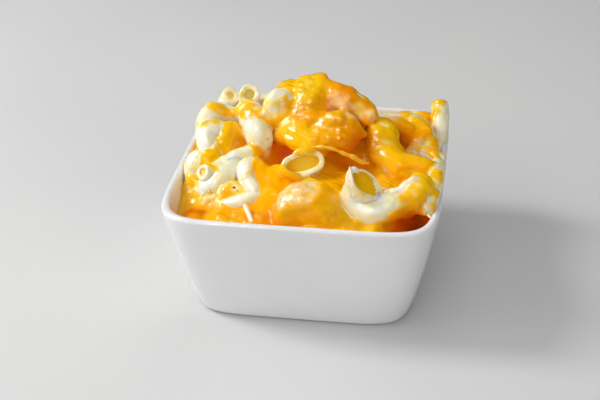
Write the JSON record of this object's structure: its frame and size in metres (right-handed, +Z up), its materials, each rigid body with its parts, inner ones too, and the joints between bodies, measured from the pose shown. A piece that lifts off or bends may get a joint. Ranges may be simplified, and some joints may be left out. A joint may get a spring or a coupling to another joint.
{
  "type": "bowl of macaroni and cheese",
  "caption": "Small square white porcelain bowl heaped with elbow macaroni in yellow cheese sauce, a single serving that stands on its flat foot ring.",
  "frame": {"origin": "centre of the bowl's footprint, on the surface it stands on", "axes": "+Z up, out of the bowl; +X to the right and +Y to the back, square to the bowl's sides, the front side facing -Y"},
  "size_m": [0.0966, 0.0966, 0.0722],
  "materials": {
    "porcelain": "glazed white porcelain, smooth and glossy",
    "cheese_sauce": "wet, glossy melted cheese sauce, yellow to orange where it is deep",
    "pasta": "cooked elbow macaroni, cream white, moist and slightly translucent"
  },
  "bodies": {
    "root": {"bowl": "porcelain", "macaroni_heap": "cheese_sauce"}
  },
  "joints": []
}
